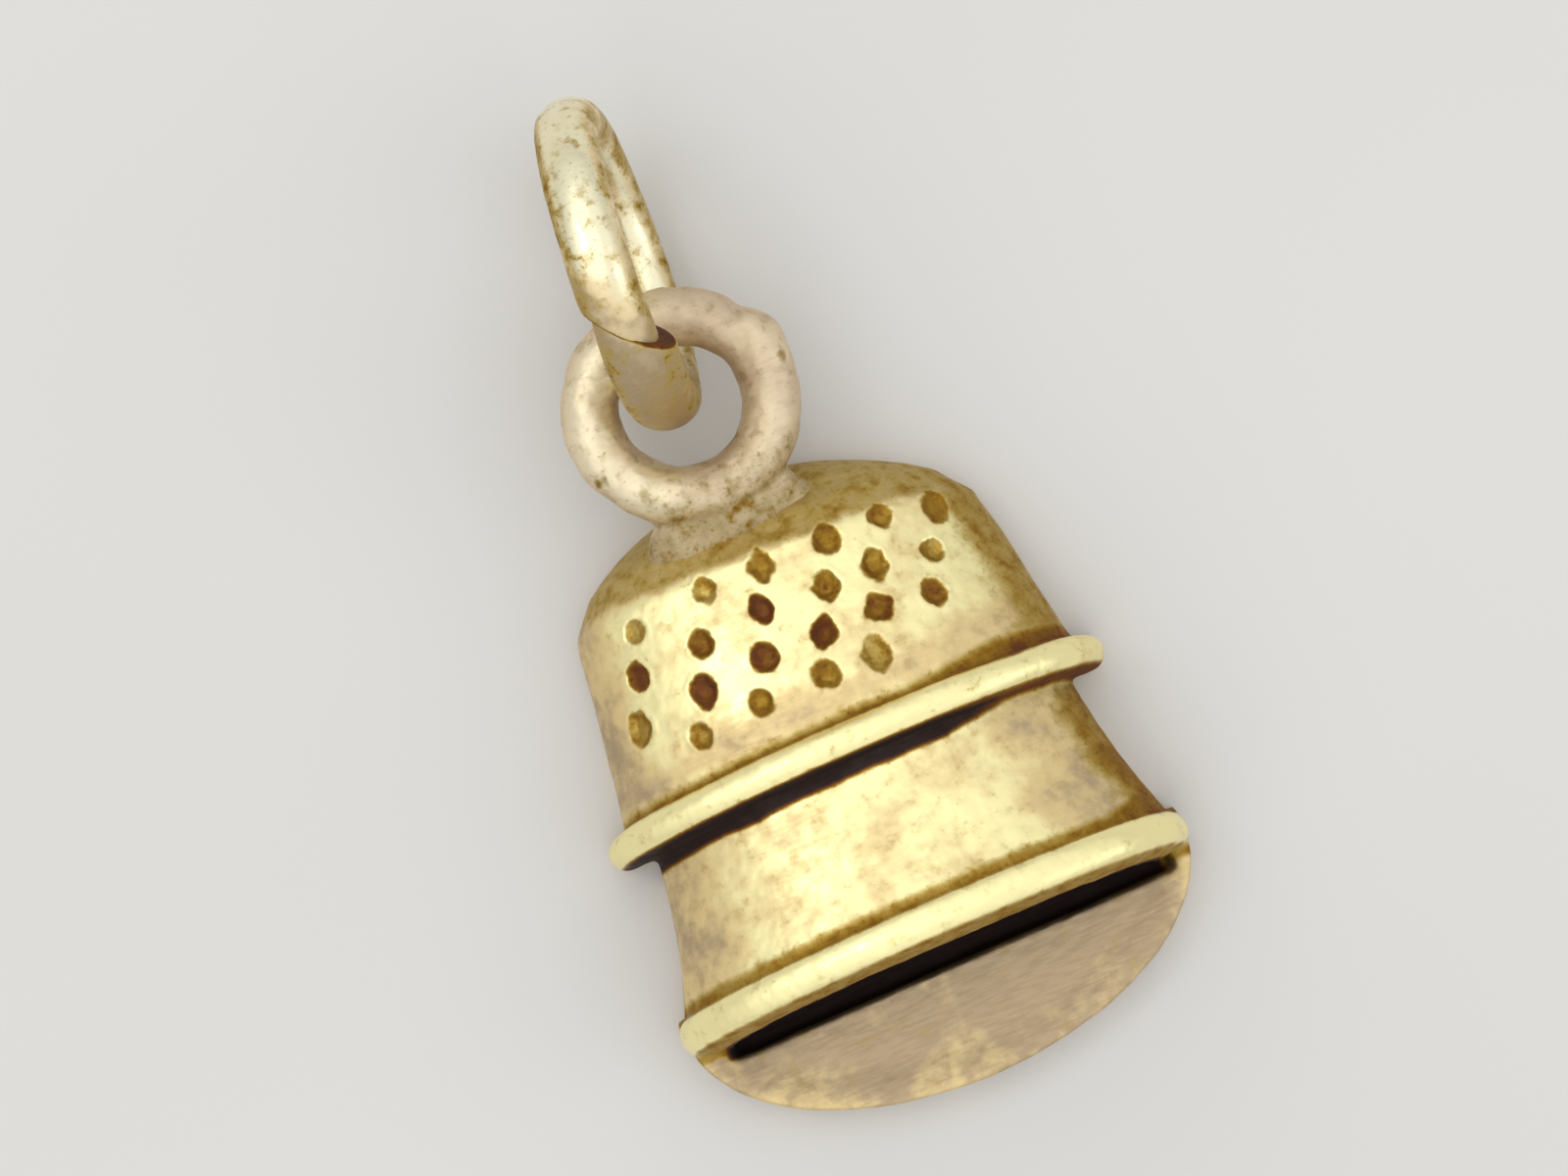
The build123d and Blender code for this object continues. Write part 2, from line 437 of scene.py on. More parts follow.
@dataclass(frozen=True)
class AntiqueBrass:
    """Brass with blackening that handling has worn back, so that the hollows stay dark. Its measures also
    carry painted shade and painted light.
    """

    name: str
    bright: Colour = (1.00, 0.90, 0.46)  # where handling keeps it polished, and where light is painted on
    gold: Colour = (0.80, 0.63, 0.32)
    dull_and_shade: Colour = (0.50, 0.38, 0.24)  # where nothing has worn it, and where shade is painted on
    olive: Colour = (0.50, 0.36, 0.10)  # the thinnest of the blackening
    ochre: Colour = (0.34, 0.19, 0.022)
    rust: Colour = (0.18, 0.055, 0.010)
    black: Colour = (0.022, 0.008, 0.005)  # what fills the deepest hollows, and the black of painted shade inside the mouth and under the upper bead
    mottle: float = 0.10  # how strongly the skin is mottled
    bright_roughness: float = 0.33
    dull_roughness: float = 0.55
    skin_depth: float = 0.006  # relief of the cast skin, in millimetres
    scratch_along: Colour = (1.0, 8.0, 1.0)  # scratches run across the larger numbers
    cloud_size: float = 1.3  # sizes of its marks, in millimetres
    fleck_size: float = 0.30
    dust_size: float = 0.09
    scratch_size: float = 0.45

    def patina(self, n: Nodes, blackening_and_shade: bpy.types.NodeSocket) -> bpy.types.NodeSocket:
        """The colour of the blackening and of the painted shade by its thickness, from olive and ochre to
        black.

        Args:
            n: the material's nodes.
            blackening_and_shade: the thickness, from 0 to 1.

        Returns:
            The colour.
        """
        node = n.add("ShaderNodeValToRGB", Fac=blackening_and_shade)
        stops = node.color_ramp.elements
        stops[0].position, stops[0].color = 0.24, (*self.olive, 1.0)
        stops[1].position, stops[1].color = 0.88, (*self.black, 1.0)
        for place, colour in ((0.40, self.ochre), (0.60, self.rust)):
            stops.new(place).color = (*colour, 1.0)
        return node.outputs["Color"]

    def make(self) -> bpy.types.Material:
        """Builds the material.

        Returns:
            The material.
        """
        material = bpy.data.materials.new(self.name)
        n = Nodes(material)
        blackening_and_shade, rub_and_light, dull_and_shade = (n.zone(z) for z in (Zone.BLACKENING_AND_SHADE, Zone.RUB_AND_LIGHT, Zone.DULL_AND_SHADE))
        cloud = n.speckle(self.cloud_size, 4.0)
        fleck = n.speckle(self.fleck_size, 4.0)
        dust = n.speckle(self.dust_size, 3.0)
        scratch = n.speckle(self.scratch_size, 2.0, self.scratch_along)

        # dulling and painted shade, in soft clouds, and kept off where it is worn back and where light is
        # painted on
        wear = n.math("ADD", n.math("SUBTRACT", dull_and_shade, rub_and_light), n.ramp(cloud, 0.30, 0.70, -0.34, 0.30))
        wear = n.math("ADD", wear, n.ramp(fleck, 0.30, 0.70, -0.16, 0.16))
        worn = n.ramp(wear, -0.75, 0.15, 1.0, 0.0)
        dulled_and_shaded = n.ramp(wear, 0.05, 0.85)

        # blackening and painted shade: the hollows and the shaded places, and small specks over the rest
        specks = n.math("MULTIPLY", n.ramp(fleck, 0.50, 0.80), self.mottle)
        specks = n.math("ADD", specks, n.ramp(dust, 0.50, 0.80, 0.0, self.mottle))
        thick = n.math("ADD", blackening_and_shade, specks)
        thick = n.math("ADD", thick, n.ramp(fleck, 0.30, 0.70, -0.04, 0.04), clamp=True)

        colour = n.mix(worn, self.gold, self.bright)
        colour = n.mix(dulled_and_shaded, colour, self.dull_and_shade)
        colour = n.mix(n.ramp(thick, 0.02, 0.30), colour, self.patina(n, thick))

        rough = n.math("MULTIPLY_ADD", worn, self.bright_roughness - self.dull_roughness)
        rough.node.inputs[2].default_value = self.dull_roughness
        rough = n.math("ADD", rough, n.ramp(scratch, 0.35, 0.65, -0.05, 0.05))
        rough = n.math("ADD", rough, n.ramp(thick, 0.20, 0.60, 0.0, 0.28), clamp=True)

        normal = n.bump(cloud, self.skin_depth * 2.0)
        normal = n.bump(fleck, self.skin_depth, normal)
        normal = n.bump(dust, self.skin_depth * 0.4, normal)
        normal = n.bump(scratch, self.skin_depth * 0.12, normal)
        shader = n.add("ShaderNodeBsdfPrincipled", Base_Color=colour, Roughness=rough, Normal=normal)
        n.feed(shader, "Metallic", n.ramp(thick, 0.30, 0.90, 1.0, 0.4))
        n.add("ShaderNodeOutputMaterial", Surface=shader.outputs[0])
        return material


@dataclass(frozen=True)
class PaleBoard:
    """The plain pale board that the charm lies on."""

    name: str = "pale_board"
    colour: Colour = (0.70, 0.69, 0.67)
    cloud_size: float = 30.0  # in millimetres
    cloud_shade: float = 0.97  # how bright its faint clouds are, as a share of the rest
    roughness: float = 0.85

    def make(self) -> bpy.types.Material:
        """Builds the material.

        Returns:
            The material.
        """
        material = bpy.data.materials.new(self.name)
        n = Nodes(material)
        cloud = n.ramp(n.speckle(self.cloud_size), 0.3, 0.7)
        tint = n.mix(cloud, self.colour, tuple(c * self.cloud_shade for c in self.colour))
        shader = n.add("ShaderNodeBsdfPrincipled", Base_Color=tint, Roughness=self.roughness)
        n.add("ShaderNodeOutputMaterial", Surface=shader.outputs[0])
        return material


# ---------------------------------------------------------------- the casting


@dataclass(frozen=True)
class Dimple:
    """One dimple of the face: its place, its shape, and how dark it has stayed. Sizes are in millimetres."""

    middle: Vector
    along: Vector  # a way along the face, toward the crown
    around: Vector  # the way round the face
    half: tuple[float, float]  # half sizes along and around
    corner: float  # 2 is round, and less is a lozenge
    depth: float
    shade: float
    clear: float = 0.6  # places further than this from the face, up or down, aren't in the dimple,
    clear_steepness: float = 9.0  # and how sharply they leave it

    def share(self, points: np.ndarray) -> np.ndarray:
        """How far out places lie: 0 in the dimple's middle, and 1 on its edge."""
        out = points - np.array(self.middle)
        a = np.abs(out @ np.array(self.along)) / self.half[0]
        b = np.abs(out @ np.array(self.around)) / self.half[1]
        c = np.abs(out @ np.array(self.along.cross(self.around))) / self.clear
        in_face = (a**self.corner + b**self.corner) ** (1.0 / self.corner)
        return in_face + np.maximum(c - 1.0, 0.0) * self.clear_steepness


@dataclass(frozen=True)
class Shadow:
    """A band of painted shadow beside a bead, as if cast by it, laid in with the blackening. Lengths are in
    millimetres, and thicknesses run from 0 to 1.
    """

    start: tuple[float, float]  # where it begins and where it is whole, from the bead's edge
    reach: float  # how far it goes,
    reach_right: float  # how much further at the right,
    fade: tuple[float, float]  # and where it fades, before and after that
    thick: float
    thick_right: float
    reach_drift: float = 0.0
    thick_drift: float = 0.0

    def thickness(self, distance: np.ndarray, right: np.ndarray, drift: np.ndarray) -> np.ndarray:
        """How thick the band is.

        Args:
            distance: how far each vertex lies from the bead's edge.
            right: how far toward the right end it lies, from 0 to 1.
            drift: slow random drift.

        Returns:
            The thickness at each vertex.
        """
        reach = self.reach + self.reach_right * right + self.reach_drift * drift
        thick = self.thick + self.thick_right * right + self.thick_drift * drift
        return thick * between(*self.start, reach - self.fade[0], reach + self.fade[1], distance)


@dataclass(frozen=True)
class Survey:
    """What the casting is painted by: one number for each vertex. Lengths are in millimetres."""

    points: np.ndarray
    across: np.ndarray  # its place in the leaning frame of the sections
    along: np.ndarray
    height: np.ndarray
    side: np.ndarray  # from -1 at the left end of its section to 1 at the right
    drift: np.ndarray  # slow random drift, which keeps every border uneven
    tight: np.ndarray  # the skin's bend close by, and further round
    wide: np.ndarray
    right: np.ndarray  # the shares, from 0 to 1, of each region
    far_right: np.ndarray
    top: np.ndarray  # the relief, and not its straight sides
    waist: np.ndarray
    cap: np.ndarray
    cap_right: np.ndarray
    bevel: np.ndarray  # the bevel and the dome over it
    lens: np.ndarray  # the far side of the mouth
    dish: np.ndarray  # its dished inside, and not its lip


@dataclass
class ThimbleCasting:
    """The half-round relief: cap, beads, waist, and the open mouth with its dished far side.

    Sizes are in millimetres. A place along the outline is given from the lower bead toward the crown, and a
    section is half an ellipse that leans toward the crown.
    """

    bead_half: float = 0.34  # half the thickness of a bead
    low_bead: float = 5.18  # radius of the lower bead, and of its foot at the mouth
    low_bead_foot: float = 4.86
    waist: tuple[float, float, float] = (4.96, 4.50, 4.25)  # radii at its bottom, middle and top
    up_bead_at: float = 3.74  # place of the upper bead, its radius, and that of its foot over the waist
    up_bead: float = 5.07
    up_bead_foot: float = 4.72
    cap_low: float = 4.60
    shoulder: tuple[float, float] = (4.02, 7.60)  # radius and place
    dome_edge: tuple[float, float] = (3.50, 8.24)
    crown_at: float = 9.40
    crown_skew: float = 0.045  # the crown stands higher on the left by this share of the width
    skew_run: tuple[float, float] = (6.4, 8.0)  # where that sets in, along the axis
    relief: float = 0.58  # height of a section over its half width
    lean: float = math.radians(8.0)  # how far the sections lean toward the crown
    crown_lift: float = 0.1  # height of the outline's plane at the top of the crown
    pocket_mouth: tuple[float, float] = (4.30, -0.43)  # half width and place where the hollow starts,
    pocket_end: tuple[float, float] = (3.7, 1.68)  # and where its end begins to close in
    pocket_depth: float = 2.4
    pocket_relief: float = 0.50
    slot_floor: float = 0.25
    lip_half_width: float = 5.12
    lip_reach: float = 2.90
    lip_width: float = 0.85  # how far in the lip slopes down, and how wide its top is
    lip_round: float = 0.04
    lip_height: float = 0.93
    dish_height: float = 0.87
    dish_sink: float = 0.07  # how much lower its middle lies
    slot_half: float = 4.48  # half the length of the slot under the near rim, and its middle
    slot_middle: float = 0.14
    slot_edge: float = -0.68  # where the dished side drops into it
    lens_tuck: float = 0.35  # how far the dished side runs on under the shell
    step: float = 0.05  # spacing of the points that the shapes are drawn with
    around: int = 200
    voxel: float = 0.05
    dimple_columns: tuple[float, ...] = (-2.91, -1.41, -0.20, 1.12, 2.20, 3.20)  # places in the top row
    dimple_fade: tuple[float, ...] = (0.72, 1.0, 1.0, 0.80)  # how deep and dark each row is
    dimple_fade_right: float = 0.75  # and the right end of the lower rows, over that
    dimple_limit: float = 0.90  # dimples further out than this share of the half width are left out
    dimple_stray: tuple[float, float] = (0.045, 0.035)  # how far each strays, across and along
    dimple_ragged: float = 0.16  # how uneven their outlines are, as a share of their size
    dimple_top: float = 7.67
    dimple_pitch: float = 0.775
    dimple_shift: float = 0.35  # each lower row stands this much further left
    dimple_sag: float = 0.027  # how far a row curves down, over the square of the distance from the axis
    dimple_half: float = 0.27
    dimple_depth: float = 0.12
    dimple_burr: float = 0.005  # the raised edge round each one
    skin: tuple[Ripple, ...] = (
        Ripple(depth=0.030, size=2.4, seed=1.0, octaves=2),
        Ripple(depth=0.012, size=0.7, seed=2.0, octaves=3),
        Ripple(depth=0.006, size=0.22, seed=3.0, octaves=2),
    )
    back_skin: float = 0.03  # whatever lies lower than this is filed flat
    # painted shadows of the beads: under the upper bead, over it on the cap, and over the lower bead on the
    # waist
    groove_shadow: Shadow = Shadow(
        start=(-0.10, 0.0),
        reach=0.29,
        reach_right=-0.24,
        fade=(0.06, 0.12),
        thick=1.0,
        thick_right=-0.35,
        reach_drift=0.08,
    )
    cap_shadow: Shadow = Shadow(
        start=(-0.06, 0.0),
        reach=0.13,
        reach_right=0.20,
        fade=(0.12, 0.20),
        thick=0.34,
        thick_right=0.14,
        thick_drift=0.20,
    )
    waist_shadow: Shadow = Shadow(
        start=(-0.04, 0.02),
        reach=0.22,
        reach_right=0.30,
        fade=(0.10, 0.16),
        thick=0.36,
        thick_right=0.10,
        thick_drift=0.12,
    )
    rim_tone: float = 0.34  # painted shade, laid in as blackening: under the lower bead, on the waist's right side turned from the light,
    turned_tone: float = 0.44
    dome_tone: float = 0.23  # over the shoulder on the dome, and on the cap's right side
    cap_side_tone: float = 0.30
    finish: AntiqueBrass = field(default_factory=lambda: AntiqueBrass("worn_cast_brass"))

    @property
    def mouth_lift(self) -> float:
        """Height of the outline's plane at the lower bead."""
        return self.crown_lift + self.crown_at * math.tan(self.lean)

    def leaned(self, across: np.ndarray, along: np.ndarray, height: np.ndarray) -> np.ndarray:
        """Places in the leaning frame of the sections, as places in the charm's own frame.

        Args:
            across: distance from the axis.
            along: distance along it, from the lower bead.
            height: height over the outline's plane.

        Returns:
            The points, one row each.
        """
        c, s = math.cos(self.lean), math.sin(self.lean)
        y, z = along * c + height * s, height * c - along * s + self.mouth_lift
        return np.stack(np.broadcast_arrays(across, y, z), axis=-1)

    def unleaned(self, points: np.ndarray) -> tuple[np.ndarray, np.ndarray, np.ndarray]:
        """The reverse of leaned.

        Args:
            points: places in the charm's own frame, one row each.

        Returns:
            Across, along and height in the leaning frame.
        """
        c, s = math.cos(self.lean), math.sin(self.lean)
        y, z = points[:, 1], points[:, 2] - self.mouth_lift
        return points[:, 0], y * c - z * s, y * s + z * c

    def bead_run(self, top: float, foot: float, end: float, at: float) -> list[tuple[float, float]]:
        """The outline over one bead.

        Args:
            top: the bead's radius.
            foot: the radius where it starts, toward the mouth.
            end: the radius where it ends, toward the crown.
            at: its place along the axis.

        Returns:
            Points of radius and place.
        """
        run = []
        for turn in np.linspace(-math.pi / 2, math.pi / 2, 17):
            fall = top - (foot if turn < 0 else end)
            run.append((top - fall * (1 - math.cos(turn)), at + self.bead_half * math.sin(turn)))
        return run

    def outline(self) -> np.ndarray:
        """The outline from the mouth to the crown, evenly stepped.

        Returns:
            Rows of radius and place along the axis.
        """
        waist_low, waist_mid, waist_top = self.waist
        start, stop = self.bead_half, self.up_bead_at - self.bead_half
        waist = []
        for y in np.linspace(start, stop, 40)[1:-1]:
            t = (y - start) / (stop - start)
            bow = waist_mid - (waist_low + waist_top) / 2
            waist.append((waist_low + (waist_top - waist_low) * t + 4 * bow * t * (1 - t), y))
        rise = self.crown_at - self.dome_edge[1]
        dome_radius = (self.dome_edge[0] ** 2 + rise**2) / (2 * rise)
        dome = []
        for r in np.linspace(self.dome_edge[0], 0.02, 50):
            dome.append((r, self.crown_at - dome_radius + math.sqrt(dome_radius**2 - r**2)))
        run = [
            *self.bead_run(self.low_bead, self.low_bead_foot, waist_low, 0.0),
            *waist,
            (waist_top, stop),
            *self.bead_run(self.up_bead, self.up_bead_foot, self.cap_low, self.up_bead_at),
            self.shoulder,
            *dome,
        ]
        points = np.array(run)
        lengths = np.concatenate(([0.0], np.cumsum(np.linalg.norm(np.diff(points, axis=0), axis=1))))
        places = np.linspace(0.0, lengths[-1], int(lengths[-1] / self.step))
        return np.stack([np.interp(places, lengths, points[:, k]) for k in (0, 1)], axis=1)

    def section(self, radius: float, along: float, relief: float, floor: float) -> np.ndarray:
        """One closed section: half an ellipse, its two sides straight down, and its bottom.

        Args:
            radius: half its width.
            along: its place along the axis.
            relief: its height over its half width.
            floor: the height of its bottom.

        Returns:
            The points round it, the same number for every section.
        """
        turn = np.linspace(0.0, math.pi, self.around)
        across = radius * np.cos(turn)
        skewed = along - self.crown_skew * across * smooth_step(*self.skew_run, along)
        arch = self.leaned(across, skewed, relief * radius * np.sin(turn))
        drop = np.linspace(0.0, 1.0, 16)[1:]
        left, right = arch[-1], arch[0]
        sides = []
        for corner, share in ((left, drop), (right, drop[::-1])):
            side = np.repeat(corner[None], len(share), axis=0)
            side[:, 2] = corner[2] + (floor - corner[2]) * share
            sides.append(side)
        across = np.linspace(1.0, -1.0, 90)[1:-1, None]
        bottom = (left * (1 + across) + right * (1 - across)) / 2
        bottom[:, 2] = floor
        return np.concatenate([arch, sides[0], bottom, sides[1]])

    def pocket_reach(self, along: np.ndarray) -> np.ndarray:
        """Half width of the pocket at places along the axis."""
        (mouth, start), (end, stop) = self.pocket_mouth, self.pocket_end
        return mouth + (end - mouth) * np.clip((along - start) / (stop - start), 0.0, 1.0)

    def shell(self) -> bpy.types.Mesh:
        """The casting without the far side of its mouth, as one closed shape with the pocket in it."""
        rings = [self.section(r, y, self.relief, 0.0) for r, y in self.outline()[::-1]]
        start, (end, stop) = self.pocket_mouth[1], self.pocket_end
        inside = [(float(self.pocket_reach(y)), y) for y in np.linspace(start, stop, 30)]
        for t in np.linspace(0.1, 1.5, 20):
            inside.append((end * math.cos(t), stop + (self.pocket_depth - stop) * math.sin(t)))
        rings += [self.section(r, y, self.pocket_relief, self.slot_floor) for r, y in inside]
        points = np.concatenate(rings)
        count = len(rings[0])
        faces = lattice_faces(len(rings), count, closed=True)
        faces.append(tuple(range(count)))
        faces.append(tuple(range(len(points) - count, len(points))))
        return mesh_from("shell", points, faces)

    def lip_distance(self, x: np.ndarray, y: np.ndarray) -> np.ndarray:
        """How far inside the lip's outer edge places in plan lie."""
        a, b = self.lip_half_width, self.lip_reach
        y = np.minimum(y, 0.0)
        share = np.maximum(np.hypot(x / a, y / b), 1e-6)
        return (1.0 - share) * share / np.maximum(np.hypot(x / a**2, y / b**2), 1e-6)

    def lens_height(self, x: np.ndarray, y: np.ndarray) -> np.ndarray:
        """Height of the far side of the mouth: its lip, its dished inside, and the slot under the near rim.

        Args:
            x: places across.
            y: places along.

        Returns:
            The heights.
        """
        dish = self.dish_height - self.dish_sink * (1.0 - (x / self.lip_half_width) ** 2)
        lip = smooth_step(self.lip_width, self.lip_round, self.lip_distance(x, y))
        top = dish + (self.lip_height - dish) * lip
        slot = smooth_step(self.slot_edge - 0.03, self.slot_edge + 0.05, y)
        slot = slot * smooth_step(self.slot_half + 0.10, self.slot_half - 0.10, np.abs(x - self.slot_middle))
        return top - (top - self.slot_floor) * slot

    def lens(self) -> bpy.types.Mesh:
        """The far side of the mouth, as one closed shape that runs a little way under the shell."""
        columns, rows = 200, 80
        x = np.linspace(-self.lip_half_width, self.lip_half_width, columns)[:, None] * np.ones((1, rows))
        edge = -self.lip_reach * np.sqrt(np.clip(1.0 - (x / self.lip_half_width) ** 2, 0.0, 1.0))
        y = edge + (self.lens_tuck - edge) * np.linspace(0.0, 1.0, rows)[None]
        top = self.lens_height(x, y)
        ground = np.zeros_like(top)
        points = np.concatenate([np.stack([x, y, z], axis=-1).reshape(-1, 3) for z in (top, ground)])
        faces = lattice_faces(columns, rows, closed=False)
        faces += lattice_faces(columns, rows, closed=False, first=columns * rows)
        rim = [i * rows for i in range(columns)]
        rim += [(columns - 1) * rows + j for j in range(1, rows)]
        rim += [i * rows + rows - 1 for i in range(columns - 2, -1, -1)]
        rim += [j for j in range(rows - 2, 0, -1)]
        below = columns * rows
        faces += [(a, b, b + below, a + below) for a, b in zip(rim, rim[1:] + rim[:1])]
        return mesh_from("lens", points, faces)

    def half_width(self, along: np.ndarray) -> np.ndarray:
        """Half width of the outline at places along the axis."""
        outline = self.outline()
        order = np.argsort(outline[:, 1])
        return np.interp(along, outline[order, 1], outline[order, 0])

    def on_face(self, x: float, y: float) -> Vector:
        """The place on the cap's face that lies over a place in plan."""
        along = y
        for _ in range(12):
            radius = float(self.half_width(along))
            height = self.relief * math.sqrt(max(radius**2 - x * x, 0.0))
            along = (y - height * math.sin(self.lean)) / math.cos(self.lean)
        return Vector(self.leaned(np.array(x), np.array(along), np.array(height)))

    def dimples(self) -> list[Dimple]:
        """The dimples of the face, in slanting columns, each a little different.

        Returns:
            The dimples.
        """
        rng = np.random.default_rng(23)
        found = []
        last_row, last_column = len(self.dimple_fade) - 1, len(self.dimple_columns) - 1
        for row, fade in enumerate(self.dimple_fade):
            for column, first in enumerate(self.dimple_columns):
                x = first - row * self.dimple_shift + rng.normal(0.0, self.dimple_stray[0])
                y = self.dimple_top - row * self.dimple_pitch - self.dimple_sag * x * x
                y += rng.normal(0.0, self.dimple_stray[1])
                size, stretch = rng.uniform(0.86, 1.10), rng.uniform(1.00, 1.45)
                corner, turn = rng.uniform(1.35, 2.1), rng.uniform(-0.45, 0.45)
                shade, depth = rng.uniform(0.34, 0.62), rng.uniform(0.85, 1.15)
                past_edge = abs(x) > self.dimple_limit * float(self.half_width(y))
                if past_edge or (row == last_row and column in (0, last_column)):
                    continue
                if row >= 2 and column == last_column:
                    fade = fade * self.dimple_fade_right
                middle = self.on_face(x, y)
                along = (self.on_face(x, y + 0.05) - self.on_face(x, y - 0.05)).normalized()
                around = (self.on_face(x + 0.05, y) - self.on_face(x - 0.05, y)).normalized()
                around = (around - along * around.dot(along)).normalized()
                twist = Matrix.Rotation(turn, 3, along.cross(around))
                half = self.dimple_half * size
                found.append(
                    Dimple(
                        middle,
                        twist @ along,
                        twist @ around,
                        (half * stretch, half),
                        corner,
                        self.dimple_depth * depth * fade,
                        shade * fade,
                    )
                )
        return found

    def ragged(self, points: np.ndarray) -> np.ndarray:
        """How far the dimples' outlines stray at each point, as a share of their size."""
        return self.dimple_ragged * grain(points, 0.20, 8.0, 2)

    def refine(self, mesh: bpy.types.Mesh) -> None:
        """Splits the faces round each dimple, so that its edge comes out crisp."""
        work = bmesh.new()
        work.from_mesh(mesh)
        near = set()
        spots = [(dimple.middle, max(dimple.half) + 0.10) for dimple in self.dimples()]
        for vertex in work.verts:
            if any((vertex.co - spot).length < reach for spot, reach in spots):
                near.update(vertex.link_edges)
        edges = [e for e in work.edges if e in near]
        bmesh.ops.subdivide_edges(work, edges=edges, cuts=1, use_grid_fill=True)
        bmesh.ops.triangulate(work, faces=[f for f in work.faces if len(f.verts) > 4])
        work.to_mesh(mesh)
        work.free()

    def worked(self, points: np.ndarray, normals: np.ndarray) -> np.ndarray:
        """Gives the smooth casting its uneven skin and its dimples.

        Args:
            points: the vertices.
            normals: their normals.

        Returns:
            The vertices' new places.
        """
        flat = smooth_step(0.10, 0.02, points[:, 2])
        lift = sum(ripple.lift(points) for ripple in self.skin) * (1.0 - flat)
        ragged = self.ragged(points)
        for dimple in self.dimples():
            share = dimple.share(points) + ragged
            lift = lift - dimple.depth * smooth_step(1.15, 0.35, share)
            lift = lift + self.dimple_burr * np.exp(-(((share - 1.25) / 0.20) ** 2))
        points = points + normals * lift[:, None]
        points[points[:, 2] < self.back_skin, 2] = 0.0
        return points

    def survey(self, mesh: bpy.types.Mesh, points: np.ndarray) -> Survey:
        """Measures each vertex for the painting.

        Args:
            mesh: the casting.
            points: its vertices.

        Returns:
            The measures.
        """
        across, along, height = self.unleaned(points)
        side = across / self.half_width(along)
        drift = 0.5 * grain(points, 0.9, 5.0, 3)
        waist_end, cap_start = self.up_bead_at - self.bead_half, self.up_bead_at + self.bead_half
        cap = smooth_step(cap_start + 0.1, cap_start + 0.4, along)
        past_shoulder = along + 0.22 * drift + self.crown_skew * across - self.shoulder[1]
        return Survey(
            points=points,
            across=across,
            along=along,
            height=height,
            side=side,
            drift=drift,
            tight=bend_of(mesh, points, 3),
            wide=bend_of(mesh, points, 14),
            right=smooth_step(0.30, 0.75, side),
            far_right=smooth_step(0.78, 0.97, side + 0.04 * drift),
            top=smooth_step(-0.05, 0.30, height),
            waist=between(self.bead_half, self.bead_half + 0.2, waist_end - 0.2, waist_end, along),
            cap=cap,
            cap_right=cap * smooth_step(0.76, 0.90, side + 0.06 * drift),
            bevel=smooth_step(0.02, 0.26, past_shoulder),
            lens=smooth_step(0.2, 0.0, height) * smooth_step(-0.45, -0.60, points[:, 1]),
            dish=smooth_step(0.05, 1.10, self.lip_distance(points[:, 0], points[:, 1])),
        )

    def mouth_walls(self, at: Survey) -> np.ndarray:
        """Where the inside of the mouth is painted black as painted shade: its walls and its floor.

        Args:
            at: the measures of each vertex.

        Returns:
            1 inside the mouth and 0 elsewhere, at each vertex.
        """
        reach = self.pocket_reach(at.along)
        radius = np.hypot(at.across / reach, np.maximum(at.height, 0.0) / (self.pocket_relief * reach))
        depth = between(-0.95, -0.75, self.pocket_depth + 0.10, self.pocket_depth + 0.25, at.along)
        floor = smooth_step(0.66, 0.58, at.points[:, 2])
        past_edge = smooth_step(self.slot_edge - 0.04, self.slot_edge + 0.04, at.points[:, 1])
        return smooth_step(1.07, 1.02, radius) * depth * np.maximum(floor, past_edge)

    def blackened_and_shaded(self, at: Survey) -> np.ndarray:
        """How thick the blackening and the painted shade are: painted shadows beside the beads, painted
        shade under the lower bead, inside the mouth, on the right sides of the waist and the cap and on the
        dome, and blackening in the dimples and creases.

        Args:
            at: the measures of each vertex.

        Returns:
            Its thickness at each vertex, from 0 up.
        """
        under_upper = self.up_bead_at - self.bead_half - at.along
        over_upper = at.along - self.up_bead_at - self.bead_half
        near_rim = smooth_step(self.slot_edge + 0.06, self.slot_edge + 0.18, at.points[:, 1])
        turned = smooth_step(0.80, 0.99, at.side + 0.08 * at.drift) * smooth_step(-0.9, 0.3, at.height)
        # painted shade: the beads' shadows, a band under the lower bead, the waist's and the cap's right
        # sides turned from the light, the dome, and black inside the mouth; the dimples further down are
        # blackening
        bands = [
            self.groove_shadow.thickness(under_upper, at.right, at.drift),
            self.cap_shadow.thickness(over_upper, at.right, at.drift * at.right),
            self.waist_shadow.thickness(at.along - self.bead_half, at.far_right, at.drift),
            self.rim_tone * smooth_step(-0.26, -0.33, at.along) * near_rim,
            (self.turned_tone + 0.16 * at.drift) * at.waist * turned,
            (self.dome_tone + 0.04 * at.drift) * at.bevel * at.top,
            self.cap_side_tone * at.cap_right,
            self.mouth_walls(at),
        ]
        ragged = self.ragged(at.points)
        for dimple in self.dimples():
            share = dimple.share(at.points) + ragged
            bands.append((dimple.shade + 0.10 * at.drift) * smooth_step(1.18, 0.85, share))
        corners = np.clip(at.tight * 12.0, 0.0, 0.35) * at.top
        return np.maximum.reduce(bands) + corners

    def rubbed_and_lit(self, at: Survey) -> np.ndarray:
        """How much handling has worn back the beads, the dimpled face, the waist's middle and any sharp
        edge, with painted light: less toward the right, where the light falls away, and a painted highlight
        along the lip of the mouth.

        Args:
            at: the measures of each vertex.

        Returns:
            The rubbing at each vertex, from 0 to about 1.
        """
        half = self.bead_half
        face = at.cap * (1.0 - at.bevel) * between(-0.95, -0.74, 0.80, 0.97, at.side + 0.08 * at.drift)
        face = face * (0.22 + 0.78 * smooth_step(4.55, 5.15, at.along - 0.35 * at.right + 0.30 * at.drift))
